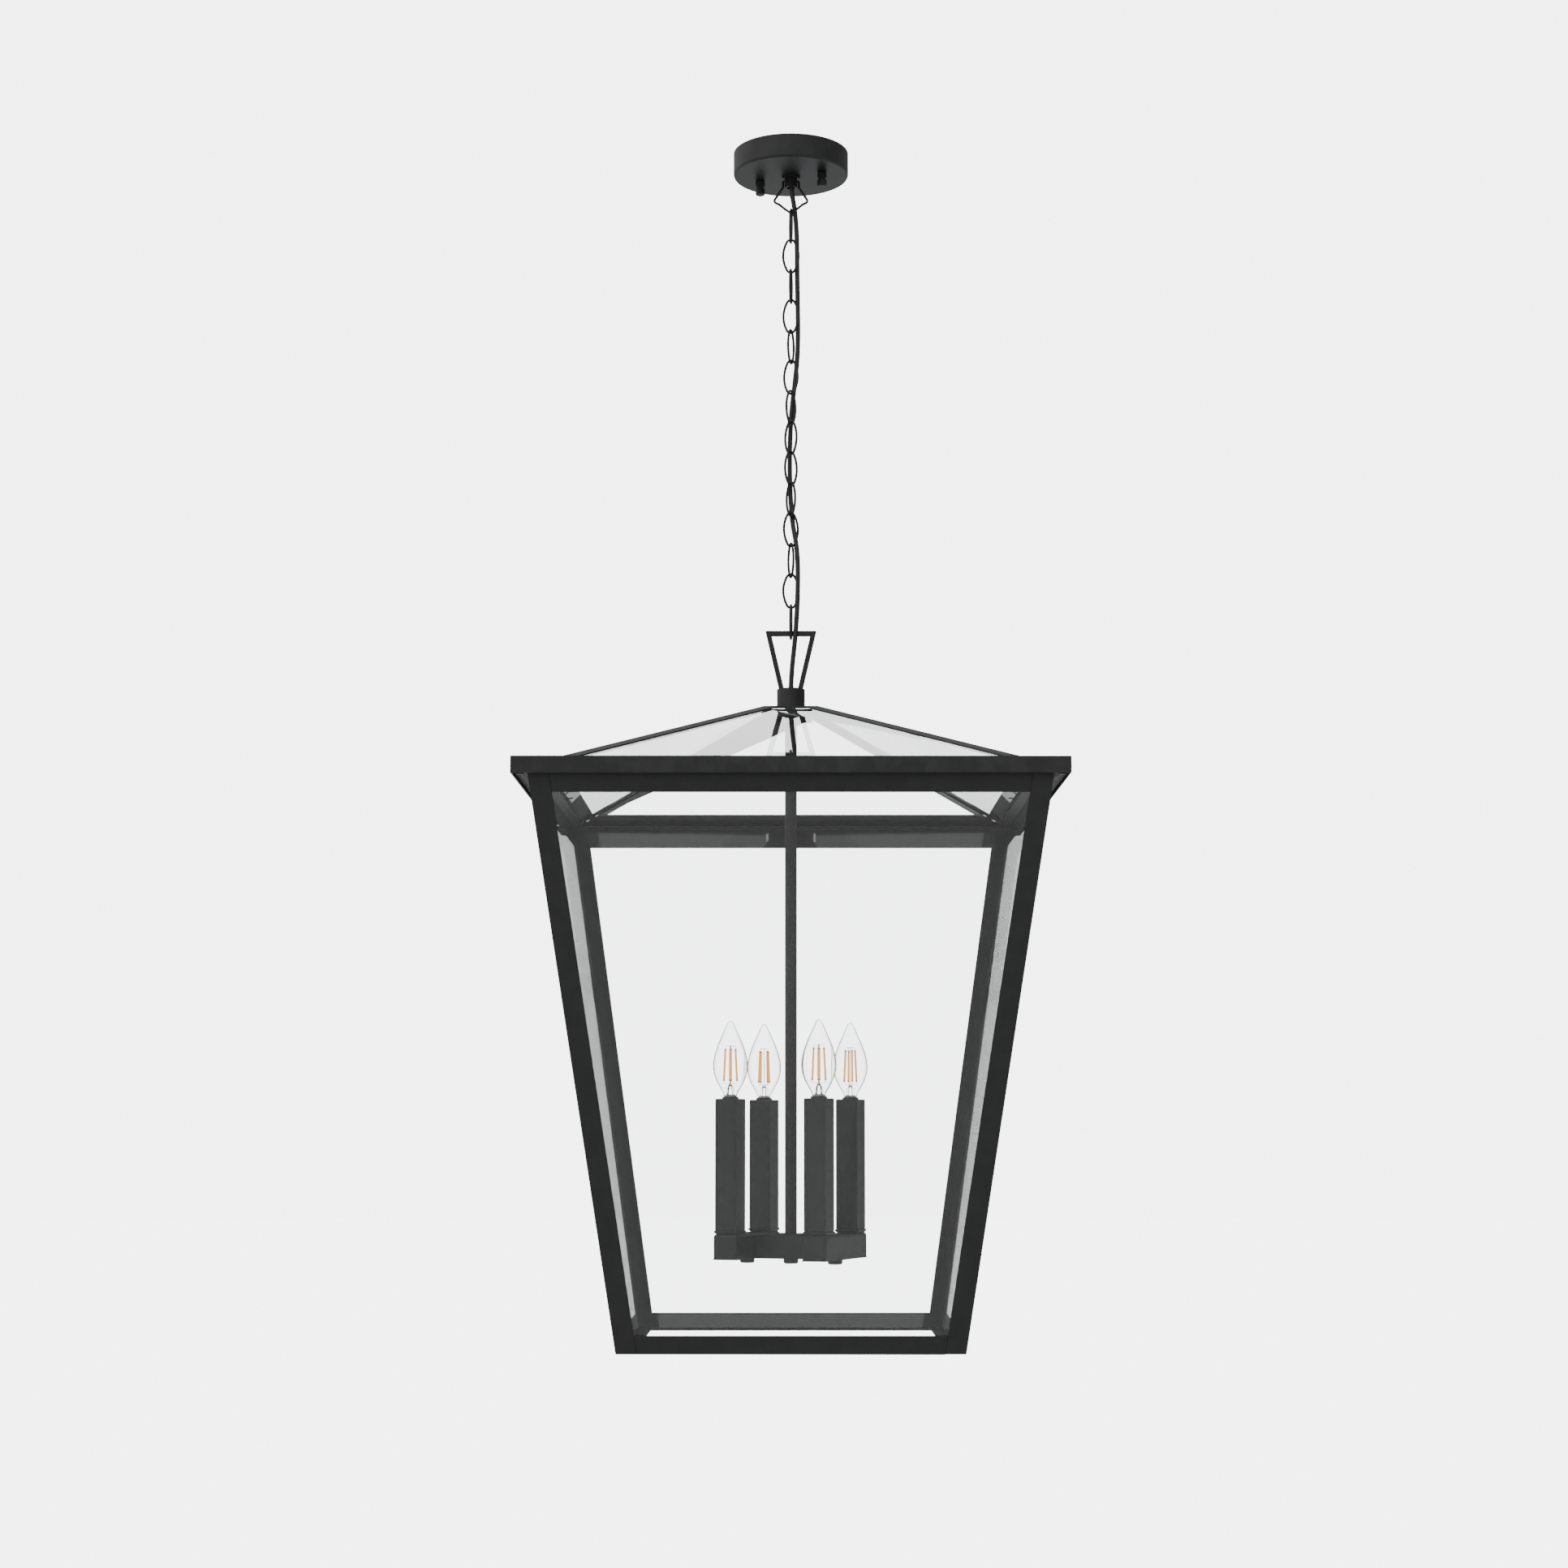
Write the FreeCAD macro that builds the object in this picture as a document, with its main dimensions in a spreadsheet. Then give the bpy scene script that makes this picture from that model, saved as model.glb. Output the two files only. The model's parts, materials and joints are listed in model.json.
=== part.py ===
"""Hanging lantern: ceiling canopy, bail, chain and flex over a tapered four-sided glazed cage.

Millimetres, +Z up. The origin is the centre of the canopy's rim, on the ceiling plane, so everything
hangs at negative Z. +X is the lantern's right and -Y is its front.
"""

import FreeCAD, Part
import Sketcher
import math
import os

from FreeCAD import Placement, Rotation, Vector

doc = FreeCAD.newDocument("hanging_lantern")

# ---------------------------------------------------------------- driving dimensions
DRIVING = {
    # ceiling end
    "canopy_radius": 60, "canopy_height": 24, "canopy_wall": 1.2, "canopy_edge": 2,
    "fixture_turn": -22.3,
    "strap_span": 106, "strap_width": 16, "strap_gauge": 2,
    "box_hole_circle": 88.9, "box_hole_radius": 2.4,
    "stud_spacing": 69.85, "stud_radius": 2.05, "stud_nut_radius": 4.6, "stud_nut_height": 3.2,
    "cap_nut_radius": 4.9, "cap_nut_length": 15, "cap_nut_groove": 0.9,
    "nipple_radius": 4.85, "nipple_bore": 3.6, "nipple_nut_radius": 8.5, "nipple_nut_height": 4,
    "ground_screw_radius": 2.1, "ground_head_radius": 3.9,
    "collar_radius": 9.6, "collar_flange": 2.5, "neck_radius": 6.4, "neck_bore": 4.2,
    "neck_length": 12, "bail_hole_drop": 5,
    # bail and chain
    "bail_wire": 2.5, "bail_pin_play": 0.06, "bail_side_play": 0.6, "bail_drop": 33.35,
    "bail_shoulder": 18.4,
    "link_length": 37.6, "link_width": 18.5, "link_wire": 2.5, "link_end_radius": 4.6,
    "link_slack": 0.3, "link_turn": -97.1, "link_seam": 0.4,
    "cord_radius": 2.5,
    # head
    "loop_bar": 5.1, "loop_top_width": 52.5, "loop_foot_width": 24.4, "loop_height": 61,
    "loop_seat": 1.5, "loop_tenon": 6,
    "hub_radius": 14.3, "hub_height": 21, "grommet_radius": 6.6, "grommet_rise": 2.4,
    "plate_half": 27, "plate_gauge": 3.8, "skirt_half": 22, "skirt_depth": 8.4, "skirt_wall": 1.5,
    "hub_nut_radius": 9.2, "hub_nut_height": 11,
    # roof
    "roof_height": 100.7, "roof_foot": 3.8, "eave_half": 260, "band_height": 15.8,
    "band_wall": 1.5, "eave_lap": 41, "hip_width": 20,
    "pane_gauge": 3, "pane_play": 0.3, "roof_pane_lap": 14.5, "roof_pane_gap": 2, "roof_pane_drop": 0.2,
    # body
    "eave_overhang": 13.6, "body_bottom_half": 165.3, "body_height": 547.4,
    "angle_leg": 20, "angle_wall": 1.5, "top_rail_height": 23.6, "bottom_rail_height": 17.5,
    "top_flange": 16, "bottom_flange": 17,
    "screw_radius": 2, "screw_play": 0.2, "screw_head_radius": 3.6, "screw_head_height": 2.4,
    "screw_offset": 150, "eave_screw_inset": 6.7, "eave_screw_back": 19, "eave_screw_head": 3.75,
    "split_pin_wire": 1.4, "split_pin_play": 0.4, "split_pin_leg": 12, "split_pin_eye": 2.2,
    # candle cluster
    "stem_radius": 6, "stem_bore": 4.9, "cluster_drop": 532.8,
    "bar_width": 25.4, "bar_height": 24, "bar_wall": 1.2, "bar_length": 115, "bar_edge": 3,
    "candle_across": 95.6, "candle_along": 87, "cover_gauge": 1.2,
    "cluster_nut_radius": 7.4, "cluster_nut_height": 5,
    "cup_margin": 1, "cup_height": 3.6, "cup_foot": 1.4,
    "sleeve_width": 23, "sleeve_wall": 0.8, "sleeve_height": 131,
    "socket_radius": 8.2, "socket_bore": 6.5, "socket_height": 48, "socket_rise": 2,
    "post_radius": 3, "lamp_radius": 17.5, "lamp_height": 76, "lamp_neck": 6.4,
    "lamp_glass": 0.7, "lamp_base_radius": 5.9, "lamp_base_length": 22, "lamp_seat_play": 0.4,
}
LINK_COUNT = 14

# The flex: down through the nipple, behind the upper links, through the eleventh link to the front,
# past the loop's bar, and down the stem. Centre points, top to bottom.
CORD_ROUTE = [
    (0.0, 0.0, -1.0), (0.1, 0.2, -20.0), (0.5, 1.3, -39.0), (4.5, 4.8, -60.0), (6.2, 4.6, -85.0),
    (6.5, 4.5, -112.0), (6.7, 3.9, -139.0), (7.2, 3.6, -166.0), (7.5, 4.1, -193.0),
    (6.7, 5.6, -219.0), (3.8, 8.1, -245.0), (0.7, 10.0, -272.0), (-0.8, 10.6, -299.0),
    (-1.3, 10.7, -326.0), (-0.9, 10.4, -352.0), (0.2, 8.6, -374.0), (1.9, 3.2, -395.0),
    (5.9, -3.8, -417.0), (7.3, -6.8, -442.0), (7.0, -7.3, -468.0), (6.0, -6.8, -494.0),
    (4.1, -5.3, -518.0), (1.6, -2.2, -540.0), (0.1, -0.2, -561.0), (0.0, 0.1, -583.0),
    (0.1, 0.0, -612.0), (0.0, 0.1, -655.0), (0.1, -0.1, -710.0), (-0.1, 0.1, -768.0),
    (0.1, 0.0, -826.0), (-0.1, -0.1, -884.0), (0.0, 0.1, -942.0), (0.1, -0.1, -1000.0),
    (-0.1, 0.0, -1057.0), (0.0, 0.0, -1113.0),
]

# ---------------------------------------------------------------- places worked out from them
DERIVED = {
    "canopy_face": "-sizes.canopy_height",
    "neck_end": "canopy_face - sizes.neck_length",
    "bail_axis": "canopy_face - sizes.bail_hole_drop",
    "bail_bottom": "bail_axis - sizes.bail_drop",
    "link_reach": "(sizes.link_length - sizes.link_wire) / 2",
    "link_pitch": "sizes.link_length - 2 * sizes.link_wire - sizes.link_slack",
    "link_first": "bail_bottom + (sizes.bail_wire + sizes.link_wire) / 2 + sizes.link_slack - link_reach",
    "chain_end": "link_first - link_pitch * %d - link_reach" % (LINK_COUNT - 1),
    "loop_top": "chain_end + sizes.link_wire / 2 + sizes.loop_seat + sizes.loop_bar",
    "hub_top": "loop_top - sizes.loop_height",
    "plate_top": "hub_top - sizes.hub_height",
    "plate_bottom": "plate_top - sizes.plate_gauge",
    "eave_bottom": "plate_top - sizes.roof_height",
    "roof_start": "eave_bottom + sizes.roof_foot",
    "roof_slope": "(plate_top - roof_start) / (sizes.eave_half - sizes.plate_half)",
    "roof_skin": "sizes.band_wall * sqrt(1 + roof_slope ^ 2)",
    "pane_skin": "sizes.pane_gauge * sqrt(1 + roof_slope ^ 2)",
    "body_top_half": "sizes.eave_half - sizes.eave_overhang",
    "body_top": "roof_start + sizes.eave_overhang * roof_slope - roof_skin - 0.05",
    "body_bottom": "body_top - sizes.body_height",
    "body_taper": "(body_top_half - sizes.body_bottom_half) / sizes.body_height",
    "bar_top": "plate_top - sizes.cluster_drop",
    "bar_bottom": "bar_top - sizes.bar_height",
    "cover_bottom": "bar_bottom - sizes.cover_gauge",
    "cup_top": "bar_top + sizes.cup_height",
    "sleeve_top": "cup_top + sizes.sleeve_height",
    "socket_top": "sleeve_top + sizes.socket_rise",
    "socket_bottom": "socket_top - sizes.socket_height",
    "stem_bottom": "bar_top - sizes.bar_wall - 4",
}

sizes = doc.addObject("Spreadsheet::Sheet", "sizes")
for row, (alias, number) in enumerate(DRIVING.items(), 1):
    sizes.set("A%d" % row, alias)
    sizes.set("B%d" % row, str(number))
    sizes.setAlias("B%d" % row, alias)
doc.recompute()

places = doc.addObject("Spreadsheet::Sheet", "places")
for row, (alias, formula) in enumerate(DERIVED.items(), 1):
    places.set("A%d" % row, alias)
    places.set("B%d" % row, "=" + formula)
    places.setAlias("B%d" % row, alias)
    doc.recompute()


def size(alias):
    """A driving dimension, as a number, for the shapes that Part functions make."""
    return float(sizes.get(alias))


def place(alias):
    """A worked-out place, as a number."""
    return float(places.get(alias))


# ---------------------------------------------------------------- building blocks
def bind(item, **expressions):
    """Binds properties to expressions; x, y, z and turn bind the placement."""
    paths = {"x": "Placement.Base.x", "y": "Placement.Base.y", "z": "Placement.Base.z",
             "turn": "Placement.Rotation.Angle"}
    for key, formula in expressions.items():
        item.setExpression(paths.get(key, key), formula)
    return item


def primitive(kind, name, **expressions):
    return bind(doc.addObject("Part::" + kind, name), **expressions)


def cylinder(name, radius, height, z, x="0", y="0"):
    return primitive("Cylinder", name, Radius=radius, Height=height, x=x, y=y, z=z)


def block(name, x, y, z):
    """A box from (low, high) expressions along each axis."""
    return primitive("Box", name, Length="(%s) - (%s)" % (x[1], x[0]), Width="(%s) - (%s)" % (y[1], y[0]),
                     Height="(%s) - (%s)" % (z[1], z[0]), x=x[0], y=y[0], z=z[0])


def square_block(name, half, z):
    """A square prism about the lantern's axis."""
    both = ("-(%s)" % half, half)
    return block(name, both, both, z)


def frustum(name, z, low, high):
    """A tapering block from height z[0] to z[1]; low and high are its (x, x, y, y) ends there."""
    item = doc.addObject("Part::Wedge", name)
    item.Placement = Placement(Vector(), Rotation(Vector(1, 0, 0), 90))
    return bind(item, Ymin="0", Ymax="(%s) - (%s)" % (z[1], z[0]), z=z[0],
                Xmin=low[0], Xmax=low[1], Zmin="-(%s)" % low[3], Zmax="-(%s)" % low[2],
                X2min=high[0], X2max=high[1], Z2min="-(%s)" % high[3], Z2max="-(%s)" % high[2])


def pyramid(name, z, low_half, high_half):
    """A square frustum about the lantern's axis."""
    low, high = "-(%s)" % low_half, "-(%s)" % high_half
    return frustum(name, z, (low, low_half, low, low_half), (high, high_half, high, high_half))


def tray(name, y, half, z):
    """A flat trapezium with mitred ends, from (outer, inner) y and half-length expressions."""
    return primitive("Wedge", name, Ymin=y[0], Ymax=y[1], Zmin=z[0], Zmax=z[1], Z2min=z[0], Z2max=z[1],
                     Xmin="-(%s)" % half[0], Xmax=half[0], X2min="-(%s)" % half[1], X2max=half[1])


def cut(name, base, tool):
    item = doc.addObject("Part::Cut", name)
    item.Base, item.Tool = base, tool
    return item


def common(name, first, second):
    item = doc.addObject("Part::MultiCommon", name)
    item.Shapes = [first, second]
    return item


def fuse(name, *parts):
    item = doc.addObject("Part::MultiFuse", name)
    item.Shapes = list(parts)
    return item


def group(name, parts, **expressions):
    """Separate solids that share one name."""
    item = doc.addObject("Part::Compound", name)
    item.Links = list(parts)
    item.Placement = Placement(Vector(), Rotation(Vector(0, 0, 1), 0.0))
    return bind(item, **expressions)


def copy(name, source, **expressions):
    """The same piece again at another placement; turn is about the lantern's axis."""
    return group(name, [source], **expressions)


def four_sides(name, source):
    """The front piece again on each of the four sides."""
    return [copy("%s_%d" % (name, side), source, turn=str(90 * side)) for side in range(4)]


def shaped(name, shape):
    """A piece whose shape Part's functions make."""
    item = doc.addObject("Part::Feature", name)
    item.Shape = shape
    return item


def outline(body, name, plane, corners):
    """A closed sketch polygon whose every corner is bound to expressions, none of them negative."""
    sketch = body.newObject("Sketcher::SketchObject", name)
    planes = {feature.Role: feature for feature in body.Origin.OriginFeatures}
    sketch.AttachmentSupport = [(planes[plane], "")]
    sketch.MapMode = "FlatFace"
    points = [Vector(float(sketch.evalExpression(a)), float(sketch.evalExpression(b)), 0)
              for a, b in corners]
    count = len(points)
    for n in range(count):
        sketch.addGeometry(Part.LineSegment(points[n], points[(n + 1) % count]), False)
    for n in range(count):
        sketch.addConstraint(Sketcher.Constraint("Coincident", n, 2, (n + 1) % count, 1))
    for n, corner in enumerate(corners):
        for kind, axis, formula in (("DistanceX", -2, corner[0]), ("DistanceY", -1, corner[1])):
            value = float(sketch.evalExpression(formula))
            if value == 0:
                sketch.addConstraint(Sketcher.Constraint("PointOnObject", n, 1, axis))
                continue
            index = sketch.addConstraint(Sketcher.Constraint(kind, -1, 1, n, 1, value))
            sketch.setExpression("Constraints[%d]" % index, formula)
    return sketch


def turned(name, corners, z, **expressions):
    """A turned piece: a (radius, height) outline revolved about the vertical axis, standing at z."""
    body = doc.addObject("PartDesign::Body", name)
    sketch = outline(body, name + "_outline", "XZ_Plane", corners)
    spin = body.newObject("PartDesign::Revolution", name + "_turn")
    spin.Profile = sketch
    spin.ReferenceAxis = (sketch, ["V_Axis"])
    spin.Angle = 360
    doc.recompute()
    return bind(body, z=z, **expressions)


def ring(name, outer, bore, height, z, **expressions):
    """A plain turned sleeve or washer."""
    corners = [(bore, "0"), (outer, "0"), (outer, height), (bore, height)]
    return turned(name, corners, z, **expressions)


def hex_nut(name, corner_radius, bore, height, z, x="0"):
    body = primitive("Prism", name + "_blank", Circumradius=corner_radius, Height=height, x=x, z=z)
    body.Polygon = 6
    hole = cylinder(name + "_hole", bore, height, z, x)
    return cut(name, body, hole)


def bent_path(points, radii):
    """Straight runs joined by tangent arcs, and the length of the whole."""
    edges, start, length = [], points[0], 0.0
    for before, corner, after, radius in zip(points, points[1:], points[2:], radii):
        inward = (before - corner).normalize()
        outward = (after - corner).normalize()
        turn = math.pi - inward.getAngle(outward)
        back = radius * math.tan(turn / 2)
        bisector = (inward + outward).normalize()
        first, last = corner + inward * back, corner + outward * back
        middle = corner + bisector * (radius / math.cos(turn / 2) - radius)
        edges += [Part.LineSegment(start, first).toShape(), Part.Arc(first, middle, last).toShape()]
        length += (first - start).Length + radius * turn
        start = last
    edges.append(Part.LineSegment(start, points[-1]).toShape())
    return Part.Wire(edges), length + (points[-1] - start).Length


def widest_radii(points, most=1e9):
    """For each corner, the largest arc that leaves a tenth of its shorter run straight."""
    radii = []
    for before, corner, after in zip(points, points[1:], points[2:]):
        shorter = min((before - corner).Length, (after - corner).Length)
        turn = math.pi - (before - corner).getAngle(after - corner)
        radii.append(min(most, 0.45 * shorter / math.tan(turn / 2)))
    return radii


def rod(path, radius):
    """A round bar along a wire."""
    start = path.OrderedEdges[0]
    direction = start.tangentAt(start.FirstParameter)
    section = Part.Wire(Part.makeCircle(radius, start.valueAt(start.FirstParameter), direction))
    return path.makePipeShell([section], True, True)


# ---------------------------------------------------------------- ceiling end
NODES = []


def node(item, label=None):
    """Marks an object as one of the lantern's named pieces."""
    item.Label = label or item.Name
    NODES.append(item)
    return item


def ceiling_end():
    turn = "sizes.fixture_turn"
    side_stud, half_circle = "sizes.stud_spacing / 2", "sizes.box_hole_circle / 2"

    plain = block("strap_blank", ("-sizes.strap_span / 2", "sizes.strap_span / 2"),
                  ("-sizes.strap_width / 2", "sizes.strap_width / 2"), ("-sizes.strap_gauge", "0"))
    low = "-sizes.strap_gauge - 1"
    through = "sizes.strap_gauge + 2"
    holes = [cylinder("strap_nipple_hole", "sizes.nipple_radius", through, low)]
    for sign in "-+":
        holes.append(cylinder("strap_box_hole", "sizes.box_hole_radius", through, low, sign + half_circle))
        holes.append(cylinder("strap_stud_hole", "sizes.stud_radius", through, low, sign + side_stud))
    holes.append(cylinder("strap_ground_hole", "sizes.ground_screw_radius", through, low, "20"))
    strap = cut("strap", plain, group("strap_holes", holes))
    node(group("ceiling_strap", [strap], turn=turn))

    stud_end = "places.canopy_face - sizes.cap_nut_length + 3"
    studs = [cylinder("stud", "sizes.stud_radius", "-(%s)" % stud_end, stud_end, sign + side_stud)
             for sign in "-+"]
    node(group("strap_studs", studs, turn=turn))
    nuts = [hex_nut("stud_nut", "sizes.stud_nut_radius", "sizes.stud_radius", "sizes.stud_nut_height",
                    "-sizes.strap_gauge - sizes.stud_nut_height", sign + side_stud) for sign in "-+"]
    node(group("stud_lock_nuts", nuts, turn=turn))

    edge, wall, radius = "sizes.canopy_edge", "sizes.canopy_wall", "sizes.canopy_radius"
    inner = radius + " - " + wall
    cup = turned("canopy_cup", [
        ("sizes.nipple_radius + 0.2", "0"), (radius + " - " + edge, "0"),
        (radius + " - 0.3 * " + edge, "0.3 * " + edge), (radius, edge), (radius, "sizes.canopy_height"),
        (inner, "sizes.canopy_height"), (inner, edge), (radius + " - " + edge, wall),
        ("sizes.nipple_radius + 0.2", wall)], "places.canopy_face")
    stud_holes = [cylinder("canopy_stud_hole", "sizes.stud_radius + 0.4", "4", "places.canopy_face - 1",
                           sign + side_stud) for sign in "-+"]
    node(cut("ceiling_canopy", cup, group("canopy_stud_holes", stud_holes, turn=turn)))

    out, groove, length = "sizes.cap_nut_radius", "sizes.cap_nut_groove", "sizes.cap_nut_length"
    bored = "sizes.stud_radius"
    cap = turned("cap_nut", [
        ("0", "0"), (out + " - 1", "0"), (out, "1"), (out, "0.42 * " + length),
        (out + " - " + groove, "0.46 * " + length), (out + " - " + groove, "0.54 * " + length),
        (out, "0.58 * " + length), (out, length + " - 1"), (out + " - 1", length), (bored, length),
        (bored, "2.9"), ("0", "2.9")], "places.canopy_face - " + length)
    caps = [copy("cap_nut_%d" % n, cap, x=sign + side_stud) for n, sign in enumerate("-+")]
    node(group("canopy_cap_nuts", caps, turn=turn))

    nipple_end = "places.canopy_face - sizes.collar_flange - 1"
    node(ring("loop_nipple", "sizes.nipple_radius", "sizes.nipple_bore", "-(%s)" % nipple_end, nipple_end))
    node(hex_nut("nipple_lock_nut", "sizes.nipple_nut_radius", "sizes.nipple_radius",
                 "sizes.nipple_nut_height", "-sizes.strap_gauge - sizes.nipple_nut_height"))

    head = cylinder("ground_head", "sizes.ground_head_radius", "2", "-sizes.strap_gauge - 2", "20")
    shank = cylinder("ground_shank", "sizes.ground_screw_radius", "sizes.strap_gauge", "-sizes.strap_gauge", "20")
    node(group("ground_screw", [fuse("ground_screw_one", head, shank)], turn=turn))

    flange = "sizes.neck_length - sizes.collar_flange"
    collar = turned("collar_blank", [
        ("sizes.neck_bore", "0"), ("sizes.neck_radius - 0.6", "0"), ("sizes.neck_radius", "0.6"),
        ("sizes.neck_radius", flange), ("sizes.collar_radius", flange),
        ("sizes.collar_radius", "sizes.neck_length"), ("sizes.nipple_radius", "sizes.neck_length"),
        ("sizes.nipple_radius", flange + " - 1"), ("sizes.neck_bore", flange + " - 1")], "places.neck_end")
    bore = primitive("Cylinder", "bail_holes", Radius="sizes.bail_wire / 2 + sizes.bail_pin_play",
                     Height="4 * sizes.neck_radius", x="-2 * sizes.neck_radius", z="places.bail_axis")
    bore.Placement = Placement(bore.Placement.Base, Rotation(Vector(0, 1, 0), 90))
    node(cut("screw_collar", collar, bore))


# ---------------------------------------------------------------- bail, chain and flex
def bail():
    """Bent wire: a pin in each side of the neck, down, out to the shoulders and in to a shallow V."""
    axis, bottom, wire = place("bail_axis"), place("bail_bottom"), size("bail_wire")
    side = size("neck_radius") + size("bail_side_play") + wire / 2
    shoulder, drop = size("bail_shoulder"), size("bail_drop")
    half = [(size("neck_bore") + 0.4, 0), (side, 0), (side, 0.2), (shoulder, 0.655),
            (0.66 * shoulder, 0.745), (0.32 * shoulder, 0.9)]
    right = [Vector(x, 0, axis - share * drop) for x, share in half]
    left = [Vector(-p.x, 0, p.z) for p in reversed(right)]
    bend = 1.6 * wire
    lean = math.atan2(right[-1].z - bottom, right[-1].x)
    middle = Vector(0, 0, bottom - bend * (1 / math.cos(lean) - 1))
    points = right + [middle] + left
    path, _ = bent_path(points, widest_radii(points, bend))
    node(shaped("wire_bail", rod(path, wire / 2)))


def link_shape():
    """One oval link of round wire: two end arcs and two side arcs, with a butt seam in one side."""
    wire, end = size("link_wire"), size("link_end_radius")
    reach, half = place("link_reach"), (size("link_width") - wire) / 2
    side = ((reach - end) ** 2 + half ** 2 - end ** 2) / (2 * (half - end))
    lean = math.atan2(reach - end, side - half)

    def on(x, z, radius, angle):
        return Vector(x + radius * math.cos(angle), 0, z + radius * math.sin(angle))

    right_mid, left_mid = Vector(half, 0, 0), Vector(-half, 0, 0)
    top, foot = Vector(0, 0, reach), Vector(0, 0, -reach)
    ends = [on(half - side, 0, side, lean), on(side - half, 0, side, math.pi - lean),
            on(side - half, 0, side, math.pi + lean), on(half - side, 0, side, -lean)]
    arcs = [(right_mid, on(half - side, 0, side, lean / 2), ends[0]), (ends[0], top, ends[1]),
            (ends[1], left_mid, ends[2]), (ends[2], foot, ends[3]),
            (ends[3], on(half - side, 0, side, -lean / 2), right_mid)]
    path = Part.Wire([Part.Arc(*arc).toShape() for arc in arcs])
    seam = size("link_seam")
    gap = Part.makeBox(2 * wire, 2 * wire, seam, Vector(half - wire, -wire, -seam / 2))
    return rod(path, wire / 2).cut(gap)


def chain():
    """Each link hangs on the one above, turned a little more than square to it."""
    link = shaped("link_master", link_shape())
    for n in range(LINK_COUNT):
        label = "connector_link" if n == LINK_COUNT - 1 else "chain_link_%02d" % (n + 1)
        node(copy(label, link, z="places.link_first - places.link_pitch * %d" % n,
                  turn="sizes.link_turn * %d" % (n - 1)))


def flex():
    points = [Vector(*p) for p in CORD_ROUTE]
    radii = widest_radii(points)
    print("flex radii", [round(min(r, 9999.0)) for r in radii])
    path, length = bent_path(points, radii)
    tube = rod(path, size("cord_radius"))
    expected = math.pi * size("cord_radius") ** 2 * length
    print("flex length %.1f, volume %.1f of %.1f" % (length, tube.Volume, expected))
    node(shaped("flex_cord", tube))


# ---------------------------------------------------------------- head
def head():
    top_half, foot_half = "sizes.loop_top_width / 2", "sizes.loop_foot_width / 2"
    bar, depth = "sizes.loop_bar", "sizes.loop_bar / 2"
    z = ("places.hub_top - sizes.loop_tenon", "places.loop_top")
    lean = "(%s - %s) / sizes.loop_height" % (top_half, foot_half)
    low = "%s - %s * sizes.loop_tenon" % (foot_half, lean)
    slant = "%s * sqrt(1 + (%s) ^ 2)" % (bar, lean)
    outer = frustum("loop_outer", z, ("-(%s)" % low, low, "-" + depth, depth),
                    ("-" + top_half, top_half, "-" + depth, depth))
    inner_low, inner_top = "%s - %s" % (low, slant), "%s - %s" % (top_half, slant)
    inner = frustum("loop_inner", ("places.hub_top - sizes.loop_tenon", "places.loop_top"),
                    ("-(%s)" % inner_low, inner_low, "-" + bar, bar),
                    ("-(%s)" % inner_top, inner_top, "-" + bar, bar))
    below_bar = block("loop_space", ("-sizes.loop_top_width", "sizes.loop_top_width"), ("-" + bar, bar),
                      ("places.hub_top - 2 * sizes.loop_tenon", "places.loop_top - " + bar))
    hole = common("loop_hole", inner, below_bar)
    node(cut("hanger_loop", outer, hole))

    seat = "sizes.grommet_radius"
    blank = ring("hub_blank", "sizes.hub_radius", seat, "sizes.hub_height", "places.plate_top")
    tenons = frustum("loop_tenon_slots", z, ("-(%s)" % low, low, "-" + depth, depth),
                     ("-" + top_half, top_half, "-" + depth, depth))
    node(cut("hub_collar", blank, tenons))

    rise = "sizes.grommet_rise"
    bore = "sizes.cord_radius + 0.4"
    fit = "sizes.grommet_radius - 0.05"
    deep = "sizes.loop_tenon + 2"
    grommet = turned("grommet_blank", [
        (bore, "0"), (fit, "0"), (fit, deep), (fit + " - 0.4", deep + " + 0.35 * " + rise),
        (fit + " - 1.6", deep + " + 0.75 * " + rise), (bore, deep + " + " + rise)],
        "places.hub_top - (%s)" % deep)
    node(cut("cord_grommet", grommet, copy("grommet_slots", tenons)))

    plate = square_block("plate_blank", "sizes.plate_half", ("places.plate_bottom", "places.plate_top"))
    skirt_z = ("places.plate_bottom - sizes.skirt_depth", "places.plate_bottom")
    skirt = cut("skirt", square_block("skirt_outside", "sizes.skirt_half", skirt_z),
                square_block("skirt_inside", "sizes.skirt_half - sizes.skirt_wall", skirt_z))
    hole = cylinder("plate_hole", "sizes.stem_radius", "sizes.plate_gauge + 2", "places.plate_bottom - 1")
    node(cut("roof_cap_plate", fuse("skirted_plate", plate, skirt), hole))
    nut = "sizes.hub_nut_radius"
    node(turned("hub_nut", [
        ("sizes.stem_radius", "0"), (nut + " - 2.5", "0"), (nut, "1.5"), (nut, "sizes.hub_nut_height"),
        ("sizes.stem_radius", "sizes.hub_nut_height")], "places.plate_bottom - sizes.hub_nut_height"))


# ---------------------------------------------------------------- roof
def roof_layer(name, drop, skin):
    """A hollow pyramid skin, dropped below the roof's outer surface; both are vertical distances."""
    outer_z = ("places.roof_start - (%s)" % drop, "places.plate_top - (%s)" % drop)
    inner_z = tuple("%s - (%s)" % (z, skin) for z in outer_z)
    outer = pyramid(name + "_outer", outer_z, "sizes.eave_half", "sizes.plate_half")
    inner = pyramid(name + "_inner", inner_z, "sizes.eave_half", "sizes.plate_half")
    return cut(name, outer, inner)


def between(name, shape, outer_half, inner_half):
    """The part of a shape between two square prisms about the axis."""
    z = ("places.eave_bottom - 20", "places.plate_top + 20")
    frame = cut(name + "_frame", square_block(name + "_outside", outer_half, z),
                square_block(name + "_inside", inner_half, z))
    return common(name, shape, frame)


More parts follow.
